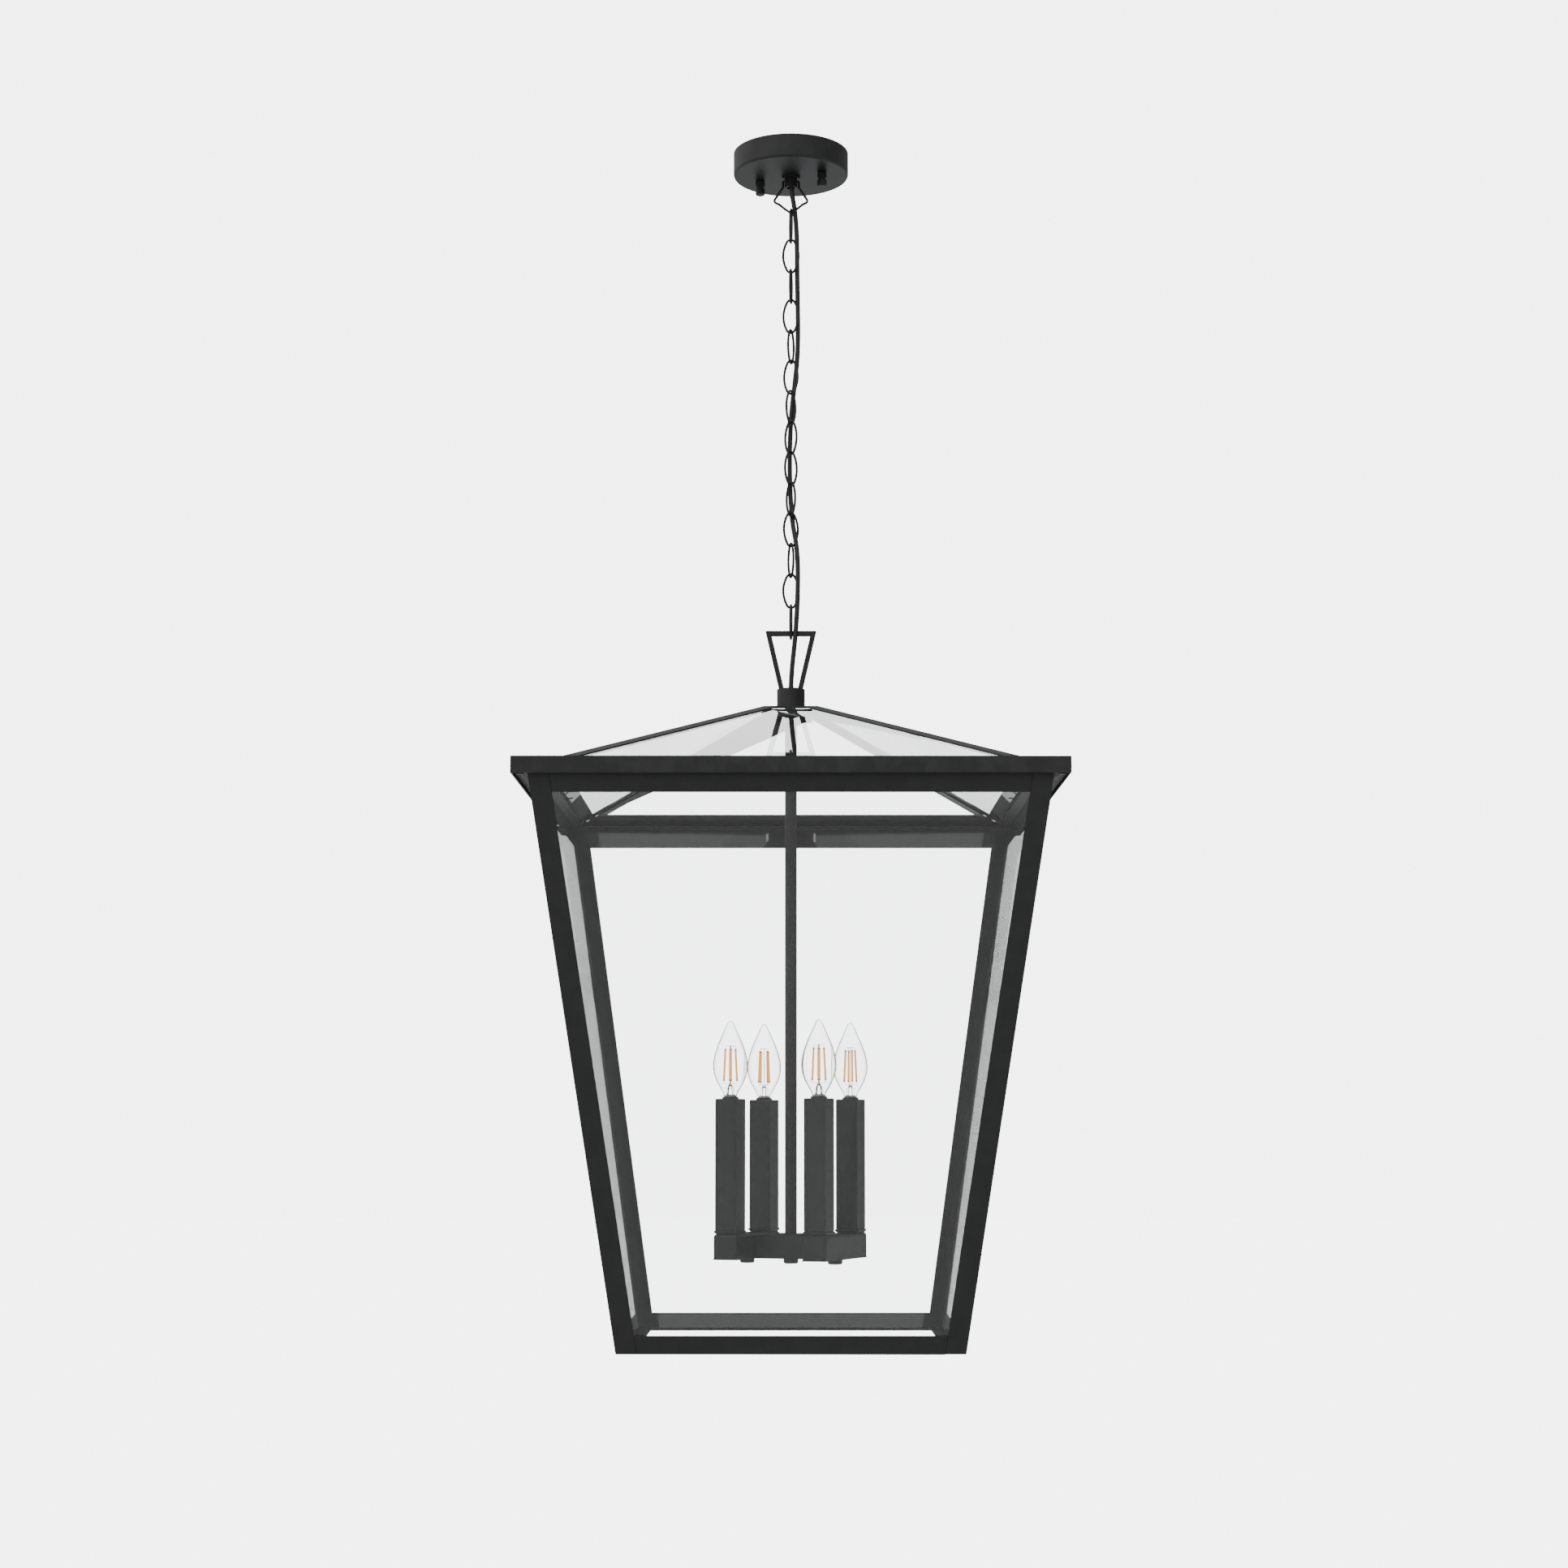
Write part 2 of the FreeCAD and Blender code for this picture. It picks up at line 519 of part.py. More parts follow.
def front_quarter(name, inset="0"):
    """The prism of everything nearer the front than any other side, its point moved forward by inset."""
    item = block(name, ("0", "2 * sizes.eave_half"), ("0", "2 * sizes.eave_half"),
                 ("places.eave_bottom - 20", "places.plate_top + 20"))
    item.Placement = Placement(item.Placement.Base, Rotation(Vector(0, 0, 1), -135))
    return bind(item, x="0", y="-(%s)" % inset)


def four_points(name, radius, z, height, x, y):
    """Upright cylinders at the four places (+-x, +-y)."""
    return [cylinder(name, radius, height, z, "%s(%s)" % (a, x), "%s(%s)" % (b, y))
            for a in "-+" for b in "-+"]


# Where the screws and split pins go through the eave: distances from the axis along each side and across.
RAIL_SCREWS = ("sizes.screw_offset", "places.body_top_half - sizes.angle_wall - sizes.pane_play"
               " - sizes.pane_gauge - sizes.screw_head_radius - 1")
EAVE_SCREWS = ("sizes.eave_half - sizes.eave_screw_inset", "sizes.eave_half - sizes.eave_screw_back")
PIN_HALF = "(sizes.eave_half - sizes.eave_lap + sizes.roof_pane_lap + sizes.split_pin_wire / 2 + 0.5)"


def roof_at(half):
    """The height of the roof's outer surface at a half width."""
    return "(places.roof_start + (sizes.eave_half - (%s)) * places.roof_slope)" % half


def roof():
    skin = roof_layer("roof_metal", "0", "places.roof_skin")
    inside_band = "sizes.eave_half - sizes.band_wall"
    lap = between("eave_lap", skin, inside_band, "sizes.eave_half - sizes.eave_lap")
    band_z = ("places.eave_bottom", "places.eave_bottom + sizes.band_height")
    band = cut("eave_band", square_block("band_outside", "sizes.eave_half", band_z),
               square_block("band_inside", inside_band, band_z))
    ring_of_four = fuse("eave_ring", band, lap)
    hole, low = "sizes.screw_radius + sizes.screw_play", "places.eave_bottom"
    pin_hole = "sizes.split_pin_wire / 2 + sizes.split_pin_play"
    holes = [cylinder("pin_hole", pin_hole, "40", low, x, y)
             for x, y in (("0", "-" + PIN_HALF), ("0", PIN_HALF), ("-" + PIN_HALF, "0"), (PIN_HALF, "0"))]
    holes += four_points("rail_screw_hole", hole, low, "40", *RAIL_SCREWS)
    holes += four_points("eave_screw_hole", hole, low, "40", *EAVE_SCREWS)
    drilled = cut("eave_drilled", ring_of_four, group("eave_holes", holes))
    side_a = common("eave_side", drilled, front_quarter("eave_quarter"))
    turned_ring = copy("eave_turned", drilled, turn="90")
    side_b = common("eave_end", turned_ring, front_quarter("eave_end_quarter"))
    sides = [copy("eave_side_%d" % n, (side_a, side_b)[n % 2], turn=str(90 * n)) for n in range(4)]
    node(group("eave_frame", sides))
    outer_edge = "sizes.eave_half - sizes.eave_screw_inset + sizes.eave_screw_head"
    head_top = "%s - places.roof_skin - 0.05" % roof_at(outer_edge)
    tall = "sizes.screw_head_height"
    heads = four_points("eave_screw_head", "sizes.eave_screw_head", "%s - %s" % (head_top, tall), tall,
                        *EAVE_SCREWS)
    shanks = four_points("eave_screw_shank", "sizes.screw_radius", head_top, "6", *EAVE_SCREWS)
    node(group("eave_screws", [fuse("eave_screw", a, b) for a, b in zip(heads, shanks)]))

    across = block("hip_strip", ("-sizes.hip_width / 2", "sizes.hip_width / 2"),
                   ("-2 * sizes.eave_half", "0"), ("places.eave_bottom", "places.plate_top + 5"))
    across.Placement = Placement(across.Placement.Base, Rotation(Vector(0, 0, 1), 45))
    bind(across, x="(sizes.hip_width / 2) * -cos(45)", y="(sizes.hip_width / 2) * -sin(45)")
    inner_lap = between("hip_span", roof_layer("hip_metal", "0", "places.roof_skin"),
                        "sizes.eave_half - sizes.eave_lap", "sizes.plate_half")
    node(group("hip_bars", four_sides("hip_bar", common("hip_bar", inner_lap, across))))

    glass = roof_layer("roof_glass", "places.roof_skin + sizes.roof_pane_drop", "places.pane_skin")
    pane = common("roof_pane", between("roof_pane_span", glass,
                                       "sizes.eave_half - sizes.eave_lap + sizes.roof_pane_lap",
                                       "sizes.plate_half + 3"),
                  front_quarter("pane_quarter", "sizes.roof_pane_gap"))
    for n, side in enumerate(("front", "right", "back", "left")):
        node(copy("roof_glass_" + side, pane, turn=str(90 * n)))


# ---------------------------------------------------------------- body
def half_at(z):
    """The body's outer half width at a height."""
    return "(sizes.body_bottom_half + places.body_taper * ((%s) - places.body_bottom))" % z


def slab(name, z, trim, out, deep):
    """A leaning front slab: its ends stay trim inside the body's corners, its faces out and deep inside."""
    low, high = half_at(z[0]), half_at(z[1])
    return frustum(name, z, ("-(%s - %s)" % (low, trim), "%s - %s" % (low, trim),
                             "-(%s - %s)" % (low, out), "-(%s - %s)" % (low, deep)),
                   ("-(%s - %s)" % (high, trim), "%s - %s" % (high, trim),
                    "-(%s - %s)" % (high, out), "-(%s - %s)" % (high, deep)))


def corner(name, z, out, deep):
    """A leaning square bar in the front right corner, between two distances inside the faces."""
    low, high = half_at(z[0]), half_at(z[1])
    ends = [("%s - %s" % (h, deep), "%s - %s" % (h, out), "-(%s - %s)" % (h, out), "-(%s - %s)" % (h, deep))
            for h in (low, high)]
    return frustum(name, z, *ends)


def body():
    leg, wall = "sizes.angle_leg", "sizes.angle_wall"
    whole = ("places.body_bottom", "places.body_top")
    post = cut("post", corner("post_outer", whole, "0", leg),
               corner("post_inner", whole, wall, "(%s + 1)" % leg))
    node(group("corner_posts", four_sides("post", post)))

    top_z = ("places.body_top - sizes.top_rail_height", "places.body_top")
    top_leg = slab("top_rail_leg", top_z, leg, "0", wall)
    near = "(places.body_top_half - %s * (1 + places.body_taper))" % wall
    far = "(places.body_top_half - sizes.top_flange)"
    shelf = tray("top_rail_shelf", ("-" + near, "-" + far), (near, far), ("places.body_top - " + wall, "places.body_top"))
    shelf_holes = group("rail_screw_holes", four_points(
        "rail_hole", "sizes.screw_radius + sizes.screw_play", "places.body_top - 5", "10", *RAIL_SCREWS))
    plain = fuse("top_rail", top_leg, shelf)
    drilled = cut("top_rail_drilled", plain, shelf_holes)
    rails = [copy("top_rail_%d" % n, (drilled, plain)[n % 2], turn=str(90 * n)) for n in range(4)]
    node(group("top_rails", rails))

    low_z = ("places.body_bottom", "places.body_bottom + sizes.bottom_rail_height")
    low_leg = slab("bottom_rail_leg", low_z, leg, "0", wall)
    near = "(sizes.body_bottom_half - %s)" % wall
    far = "(sizes.body_bottom_half - sizes.bottom_flange)"
    shelf = tray("bottom_rail_shelf", ("-" + near, "-" + far), (near, far),
                 ("places.body_bottom", "places.body_bottom + " + wall))
    node(group("bottom_rails", four_sides("bottom_rail", fuse("bottom_rail", low_leg, shelf))))

    play = "(%s + sizes.pane_play)" % wall
    back = "(%s + sizes.pane_gauge)" % play
    pane_z = ("places.body_bottom + %s" % play, "places.body_top - %s" % play)
    pane = slab("side_pane", pane_z, "(%s + 1.5)" % back, play, back)
    for n, side in enumerate(("front", "right", "back", "left")):
        node(copy("side_glass_" + side, pane, turn=str(90 * n)))

    seat = "places.body_top - " + wall
    tall = "sizes.screw_head_height"
    heads = four_points("screw_head", "sizes.screw_head_radius", "%s - %s" % (seat, tall), tall, *RAIL_SCREWS)
    reach = "%s + 1.2 - (%s)" % (roof_at(RAIL_SCREWS[1]), seat)
    shanks = four_points("screw_shank", "sizes.screw_radius", seat, reach, *RAIL_SCREWS)
    node(group("frame_screws", [fuse("frame_screw", a, b) for a, b in zip(heads, shanks)]))


def split_pins():
    """One at the lower edge of each roof pane: an eye above the eave lap, two legs bent under it."""
    wire, eye, long = size("split_pin_wire") / 2, size("split_pin_eye"), size("split_pin_leg")
    lap, pane = size("eave_lap"), size("roof_pane_lap")
    y = -(size("eave_half") - lap + pane + wire + 0.5)
    surface = place("roof_start") + (size("eave_half") + y) * place("roof_slope")
    low = place("body_top") + wire + 0.15
    top = surface + eye + wire
    shank = Part.makeCylinder(wire, top - low, Vector(0, y, low))
    pieces = [Part.makeTorus(eye, wire, Vector(0, y, top + eye), Vector(1, 0, 0)),
              Part.makeSphere(wire, Vector(0, y, low)),
              Part.makeCylinder(wire, long, Vector(0, y, low), Vector(0, 1, 0.08)),
              Part.makeCylinder(wire, 0.3 * long, Vector(0, y, low), Vector(0.5, -1, 0))]
    pins = four_sides("split_pin", shaped("split_pin", shank.fuse(pieces)))
    node(group("glass_split_pins", pins))


# ---------------------------------------------------------------- candle cluster
def drawn_bar(name, width, length, x):
    """A drawn channel, open below, with rounded upper edges and closed ends."""
    body = doc.addObject("PartDesign::Body", name)
    sketch = outline(body, name + "_plan", "XY_Plane", [("0", "0"), (width, "0"), (width, length), ("0", length)])
    pad = body.newObject("PartDesign::Pad", name + "_pad")
    pad.Profile = sketch
    bind(pad, Length="sizes.bar_height")
    doc.recompute()
    rounded = [("Edge%d" % (n + 1)) for n, edge in enumerate(pad.Shape.Edges)
               if min(v.Z for v in edge.Vertexes) > 0.5 or abs(edge.Vertexes[0].Z - edge.Vertexes[-1].Z) > 1]
    fillet = body.newObject("PartDesign::Fillet", name + "_edges")
    fillet.Base = (pad, rounded)
    bind(fillet, Radius="sizes.bar_edge")
    doc.recompute()
    bind(body, x=x, y="-(%s) / 2" % length, z="places.bar_bottom")
    wall = "sizes.bar_wall"
    hollow = block(name + "_hollow", (x + " + " + wall, x + " + (%s) - %s" % (width, wall)),
                   ("-(%s) / 2 + %s" % (length, wall), "(%s) / 2 - %s" % (length, wall)),
                   ("places.bar_bottom - 1", "places.bar_top - " + wall))
    return cut(name + "_shell", body, hollow)


def candle_spots():
    return [("%ssizes.candle_across / 2" % a, "%ssizes.candle_along / 2" % b) for a in "-+" for b in "-+"]


def at_candles(name, source):
    return [copy("%s_%d" % (name, n + 1), source, x=x, y=y) for n, (x, y) in enumerate(candle_spots())]


def cluster():
    turn = "sizes.fixture_turn"
    width, across = "sizes.bar_width", "sizes.candle_across / 2"
    post_hole = "sizes.post_radius + 0.1"
    drill_z, drill = "places.bar_top - 6", "12"

    for label, sign in (("left", "-"), ("right", "+")):
        shell = drawn_bar("bar_" + label, width, "sizes.bar_length", "%s%s - %s / 2" % (sign, across, width))
        holes = [cylinder("bar_hole_" + label, post_hole, drill, drill_z, "%s%s" % (sign, across),
                          "%ssizes.candle_along / 2" % b) for b in "-+"]
        drilled = cut("bar_drilled_" + label, shell, group("bar_holes_" + label, holes))
        node(group("cluster_bar_" + label, [drilled], turn=turn))

    inner_end = "(%s - %s / 2)" % (across, width)
    cross = drawn_bar("bar_cross", "2 * %s" % inner_end, width, "-" + inner_end)
    stem_hole = cylinder("cross_stem_hole", "sizes.stem_radius", drill, drill_z)
    node(group("cluster_cross_bar", [cut("cross_drilled", cross, stem_hole)], turn=turn))

    cover_z = ("places.cover_bottom", "places.bar_bottom")
    plates = [block("cover_cross", ("-" + inner_end, inner_end), ("-%s / 2" % width, "%s / 2" % width), cover_z)]
    for sign in "-+":
        x = "%s%s" % (sign, across)
        plates.append(block("cover_side", ("%s - %s / 2" % (x, width), "%s + %s / 2" % (x, width)),
                            ("-sizes.bar_length / 2", "sizes.bar_length / 2"), cover_z))
    cover = fuse("cover_blank", *plates)
    spots = ["-" + across, "0", across]
    bolts = [cylinder("cover_hole", post_hole, "4", "places.cover_bottom - 1", x) for x in spots]
    node(group("cluster_cover", [cut("cover", cover, group("cover_holes", bolts))], turn=turn))

    radius, tall = "sizes.cluster_nut_radius", "sizes.cluster_nut_height"
    stub = "sizes.post_radius"
    nut = turned("cluster_nut", [
        ("0", "0"), (radius + " - 1.2", "0"), (radius, "1.2"), (radius, tall), (stub, tall),
        (stub, tall + " + sizes.cover_gauge + 3"), ("0", tall + " + sizes.cover_gauge + 3")],
        "places.cover_bottom - " + tall)
    node(group("cluster_nuts", [copy("cluster_nut_%d" % n, nut, x=x) for n, x in enumerate(spots)], turn=turn))

    half, foot = "(sizes.sleeve_width / 2 + sizes.cup_margin)", "sizes.cup_foot"
    narrow = "(%s - 1.2)" % half
    dish = fuse("cup_blank",
                square_block("cup_foot", narrow, ("places.bar_top", "places.bar_top + " + foot)),
                square_block("cup_rim", half, ("places.bar_top + " + foot, "places.cup_top")))
    cup = cut("cup", dish, cylinder("cup_hole", post_hole, "20", "places.bar_top - 5"))
    node(group("candle_cups", at_candles("cup", cup), turn=turn))

    sleeve_z = ("places.cup_top", "places.sleeve_top")
    bore = "sizes.sleeve_width / 2 - sizes.sleeve_wall"
    hollow = square_block("sleeve_hollow", bore, ("places.cup_top - 1", "places.sleeve_top - sizes.sleeve_wall"))
    mouth = cylinder("sleeve_mouth", "sizes.socket_radius + 0.3", "10", "places.sleeve_top - 5")
    sleeve = cut("sleeve", square_block("sleeve_blank", "sizes.sleeve_width / 2", sleeve_z),
                 fuse("sleeve_space", hollow, mouth))
    node(group("candle_sleeves", at_candles("sleeve", sleeve), turn=turn))

    tube = ring("post_tube", "sizes.post_radius", "1.6",
                "places.socket_bottom - places.bar_top + sizes.bar_wall + 3",
                "places.bar_top - sizes.bar_wall - 3")
    node(group("socket_posts", at_candles("socket_post", tube), turn=turn))

    out, high, floor = "sizes.socket_radius", "sizes.socket_height", "6"
    socket = turned("socket", [
        ("0", "0"), (out + " - 1.5", "0"), (out, "2"), (out, high), ("sizes.socket_bore", high),
        ("sizes.socket_bore", high + " - sizes.lamp_base_length - 3"), ("2.5", high + " - sizes.lamp_base_length - 3"),
        ("2.5", floor), ("0", floor)], "places.socket_bottom")
    node(group("lamp_sockets", at_candles("socket", socket), turn=turn))

    node(ring("stem_tube", "sizes.stem_radius", "sizes.stem_bore",
              "places.plate_top - places.stem_bottom", "places.stem_bottom"))


def lamp_shape():
    """A candle lamp: blown envelope, and in it the stem, four filament rods and the screw base."""
    radius, tall, neck, wall = size("lamp_radius"), size("lamp_height"), size("lamp_neck"), size("lamp_glass")

    def envelope(inset):
        shares = [(neck, 0.0), (neck + 0.9, 0.045), (0.72 * radius, 0.15), (0.93 * radius, 0.26),
                  (radius, 0.385), (0.93 * radius, 0.52), (0.72 * radius, 0.675), (0.43 * radius, 0.825),
                  (0.2 * radius, 0.93), (0.0, 1.0)]
        curve = Part.BSplineCurve()
        curve.interpolate([Vector(max(r - inset, 0), 0, s * tall - inset * (1 if s > 0.99 else 0))
                           for r, s in shares])
        top, foot = Vector(0, 0, tall - inset), Vector(0, 0, 0)
        edges = [curve.toShape(), Part.LineSegment(top, foot).toShape(),
                 Part.LineSegment(foot, Vector(neck - inset, 0, 0)).toShape()]
        face = Part.Face(Part.Wire(edges))
        return face.revolve(Vector(), Vector(0, 0, 1), 360)

    glass = envelope(0).cut(envelope(wall))
    base_r, base_l = size("lamp_base_radius"), size("lamp_base_length")
    shell = Part.makeCylinder(base_r, base_l - 4, Vector(0, 0, 4 - base_l))
    tip = Part.makeCone(2.2, base_r, 4, Vector(0, 0, -base_l))
    stem = Part.makeCone(4.6, 1.6, 0.3 * tall, Vector(0, 0, 0))
    stem = stem.fuse(Part.makeCylinder(1.2, 0.12 * tall, Vector(0, 0, 0.3 * tall)))
    inside = [shell.fuse([tip, stem])]
    for n in range(4):
        angle = math.radians(90 * n + 45)
        spot = Vector(2.9 * math.cos(angle), 2.9 * math.sin(angle), 0.345 * tall)
        inside.append(Part.makeCylinder(0.8, 0.36 * tall, spot))
    lead = Part.makeCylinder(3.9, 0.6, Vector(0, 0, 0.345 * tall - 0.6))
    inside[0] = inside[0].fuse(lead)
    return Part.makeCompound([glass] + inside)


def lamps():
    lamp = shaped("lamp_master", lamp_shape())
    for n, (x, y) in enumerate(candle_spots()):
        swung = copy("lamp_spot_%d" % (n + 1), lamp, x=x, y=y, z="places.socket_top + sizes.lamp_seat_play")
        node(group("lamp_%d" % (n + 1), [swung], turn="sizes.fixture_turn"))


# ---------------------------------------------------------------- build, check, write
ceiling_end()
bail()
chain()
flex()
head()
roof()
body()
split_pins()
cluster()
lamps()
doc.recompute()

faults = [item.Name for item in doc.Objects if set(item.State) & {"Invalid", "Error"}]
faults += [item.Label for item in NODES if item.Shape.isNull() or not item.Shape.isValid()]
faults += [item.Label for item in NODES if not item.Shape.Solids]
if faults:
    raise SystemExit("faulty objects: " + ", ".join(faults))

os.makedirs("parts", exist_ok=True)
for item in NODES:
    item.Shape.exportStep("parts/%s.step" % item.Label)
print(len(NODES), "pieces written")
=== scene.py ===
"""Hanging lantern: finishes, smooth flex, candle lamps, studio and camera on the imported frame."""
import json
import math

import bpy
from mathutils import Matrix, Vector


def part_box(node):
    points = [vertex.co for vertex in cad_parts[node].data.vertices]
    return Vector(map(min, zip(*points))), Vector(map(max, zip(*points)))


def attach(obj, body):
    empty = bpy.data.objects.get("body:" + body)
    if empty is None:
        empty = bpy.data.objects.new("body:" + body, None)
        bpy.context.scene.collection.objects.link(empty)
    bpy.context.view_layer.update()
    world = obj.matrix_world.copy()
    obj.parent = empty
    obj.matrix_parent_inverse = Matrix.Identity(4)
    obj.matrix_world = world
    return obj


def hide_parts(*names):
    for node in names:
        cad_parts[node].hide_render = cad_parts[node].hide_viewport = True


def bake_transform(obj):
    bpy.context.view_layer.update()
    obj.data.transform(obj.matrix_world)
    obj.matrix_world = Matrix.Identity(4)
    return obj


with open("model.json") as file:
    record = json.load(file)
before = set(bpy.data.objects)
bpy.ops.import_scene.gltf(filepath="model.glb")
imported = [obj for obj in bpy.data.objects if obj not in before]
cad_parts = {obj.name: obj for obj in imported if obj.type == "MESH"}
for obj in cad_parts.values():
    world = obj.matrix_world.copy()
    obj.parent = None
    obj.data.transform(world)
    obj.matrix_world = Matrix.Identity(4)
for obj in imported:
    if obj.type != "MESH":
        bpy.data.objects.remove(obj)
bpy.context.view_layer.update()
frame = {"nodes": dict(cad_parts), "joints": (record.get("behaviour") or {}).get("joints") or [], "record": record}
nodes = frame["nodes"]
scene = bpy.context.scene
MM = 0.001


# ---------------------------------------------------------------- camera, stage and light
def camera():
    data = bpy.data.cameras.new("camera")
    data.sensor_width = 36
    data.lens = 60.83
    data.shift_x, data.shift_y = -0.0044, 0.06
    data.clip_end = 100
    eye = bpy.data.objects.new("camera", data)
    eye.location = (0, -2.6915, -1.0255)
    eye.rotation_euler = (math.radians(95.589), 0, 0)
    scene.collection.objects.link(eye)
    scene.camera = eye


def arithmetic(tree, operation, first, second):
    """A Math node's result; first and second are numbers or other nodes' outputs."""
    node = tree.nodes.new("ShaderNodeMath")
    node.operation = operation
    for socket, value in zip(node.inputs, (first, second)):
        if isinstance(value, float):
            socket.default_value = value
        else:
            tree.links.new(value, socket)
    return node.outputs[0]


def seen_through_glass(tree, overhead=None):
    """1 for what is seen directly or through clear glass, and 0 for what only lights the object.

    overhead is how far a direction is upwards; what lies there is also seen mirrored in glass.
    """
    path = tree.nodes.new("ShaderNodeLightPath").outputs
    clear = arithmetic(tree, "LESS_THAN", path["Glossy Depth"], 0.5)
    if overhead is not None:
        once = arithmetic(tree, "LESS_THAN", path["Glossy Depth"], 1.5)
        sharp = arithmetic(tree, "MULTIPLY", path["Is Singular Ray"], path["Is Reflection Ray"])
        mirrored = arithmetic(tree, "MULTIPLY", arithmetic(tree, "MULTIPLY", once, sharp), overhead)
        clear = arithmetic(tree, "MAXIMUM", clear, mirrored)
    return arithmetic(tree, "MULTIPLY", clear, arithmetic(tree, "LESS_THAN", path["Diffuse Depth"], 0.5))


SEEN, LIT = 5.4, 0.42         # the surround's strength to the eye, and as light on the object
FLOOR_SEEN, FLOOR_LIT = 0.965 * SEEN, 0.16


def floor():
    """A pale floor well below the lantern, which glows to the eye so that it meets the surround."""
    mesh = bpy.data.meshes.new("floor")
    far, low = 40, -2.3
    corners = [(-far, -far, low), (far, -far, low), (far, far, low), (-far, far, low)]
    mesh.from_pydata(corners, [], [(0, 1, 2, 3)])
    obj = bpy.data.objects.new("floor", mesh)
    scene.collection.objects.link(obj)
    mat, shader = finish("studio_floor", (0.6, 0.605, 0.615), 0.9)
    tree = mat.node_tree
    shader.inputs["Emission Color"].default_value = (0.985, 0.99, 1.0, 1)
    glow = spread(tree, seen_through_glass(tree), FLOOR_LIT, FLOOR_SEEN, 0, 1)
    tree.links.new(glow, shader.inputs["Emission Strength"])
    mat.cycles.emission_sampling = "NONE"
    mesh.materials.append(mat)


def surround():
    """A white studio: it lights the object softly from the upper left, and shows white behind it."""
    world = bpy.data.worlds.new("surround")
    scene.world = world
    world.use_nodes = True
    world.cycles.sampling_method = "NONE"
    tree = world.node_tree
    back = tree.nodes["Background"]
    coord = tree.nodes.new("ShaderNodeTexCoord")
    side = tree.nodes.new("ShaderNodeVectorMath")
    side.operation = "DOT_PRODUCT"
    side.inputs[1].default_value = Vector((-0.55, -0.45, 0.7)).normalized()
    tree.links.new(coord.outputs["Generated"], side.inputs[0])
    soft = spread(tree, side.outputs["Value"], 0.5 * LIT, 2.6 * LIT, -0.5, 0.97)
    rise = tree.nodes.new("ShaderNodeSeparateXYZ")
    tree.links.new(coord.outputs["Generated"], rise.inputs[0])
    overhead = spread(tree, rise.outputs["Z"], 0, 1, 0.15, 0.45)
    level = tree.nodes.new("ShaderNodeMix")
    factor, lit, seen = level.inputs[0], level.inputs[2], level.inputs[3]
    seen.default_value = SEEN
    tree.links.new(seen_through_glass(tree, overhead), factor)
    tree.links.new(soft, lit)
    tree.links.new(level.outputs[0], back.inputs["Strength"])
    back.inputs["Color"].default_value = (0.99, 0.994, 1.0, 1)


# ---------------------------------------------------------------- finishes
def finish(name, color, roughness, metallic=0.0):
    mat = bpy.data.materials.new(name)
    mat.use_nodes = True
    shader = mat.node_tree.nodes["Principled BSDF"]
    shader.inputs["Base Color"].default_value = (*color, 1)
    shader.inputs["Roughness"].default_value = roughness
    shader.inputs["Metallic"].default_value = metallic
    return mat, shader


def noise(tree, scale, detail=3.0, stretch=None):
    tex = tree.nodes.new("ShaderNodeTexNoise")
    tex.inputs["Scale"].default_value, tex.inputs["Detail"].default_value = scale, detail
    coord = tree.nodes.new("ShaderNodeTexCoord")
    source = coord.outputs["Object"]
    if stretch:
        mapping = tree.nodes.new("ShaderNodeMapping")
        mapping.inputs["Scale"].default_value = stretch
        tree.links.new(source, mapping.inputs[0])
        source = mapping.outputs[0]
    tree.links.new(source, tex.inputs["Vector"])
    return tex.outputs[0]


def spread(tree, factor, low, high, start=0.35, end=0.65):
    """A value that runs from low to high as the factor goes from start to end."""
    node = tree.nodes.new("ShaderNodeMapRange")
    for key, value in (("From Min", start), ("From Max", end), ("To Min", low), ("To Max", high)):
        node.inputs[key].default_value = value
    tree.links.new(factor, node.inputs[0])
    return node.outputs[0]


def tint(tree, factor, low, high):
    """A colour that runs from low to high with the factor; low may be another node's colour."""
    mix = tree.nodes.new("ShaderNodeMix")
    mix.data_type = "RGBA"
    first, second, result = mix.inputs[6], mix.inputs[7], mix.outputs[2]
    if isinstance(low, tuple):
        first.default_value = (*low, 1)
    else:
        tree.links.new(low, first)
    second.default_value = (*high, 1)
    tree.links.new(factor, mix.inputs[0])
    return result


def bump(tree, shader, height, strength, distance):
    node = tree.nodes.new("ShaderNodeBump")
    node.inputs["Strength"].default_value, node.inputs["Distance"].default_value = strength, distance
    tree.links.new(height, node.inputs["Height"])
    tree.links.new(node.outputs[0], shader.inputs["Normal"])


def powder_coat():
    """Satin black powder: a fine pebbled skin, uneven sheen, and edges painted a little paler as a highlight."""
    mat, shader = finish("black_powder", (0.0058, 0.0059, 0.0062), 0.42)
    tree = mat.node_tree
    cloud = noise(tree, 22, 4)
    edge = tree.nodes.new("ShaderNodeNewGeometry").outputs["Pointiness"]
    # Painted highlight: the convex edges are painted paler in noisy patches, to stand for the light they catch.
    edge_highlight_mask = spread(tree, edge, 0, 1, 0.53, 0.62)
    patch = spread(tree, noise(tree, 60, 5), 0, 1, 0.42, 0.62)
    painted_edge_highlight = arithmetic(tree, "MULTIPLY", edge_highlight_mask, patch)
    base = tint(tree, spread(tree, cloud, 0, 1), (0.0052, 0.0053, 0.0056), (0.0064, 0.0065, 0.0069))
    tree.links.new(tint(tree, painted_edge_highlight, base, (0.016, 0.016, 0.0165)), shader.inputs["Base Color"])
    tree.links.new(spread(tree, cloud, 0.41, 0.43), shader.inputs["Roughness"])
    bump(tree, shader, noise(tree, 900, 2), 0.16, 0.0001)
    return mat


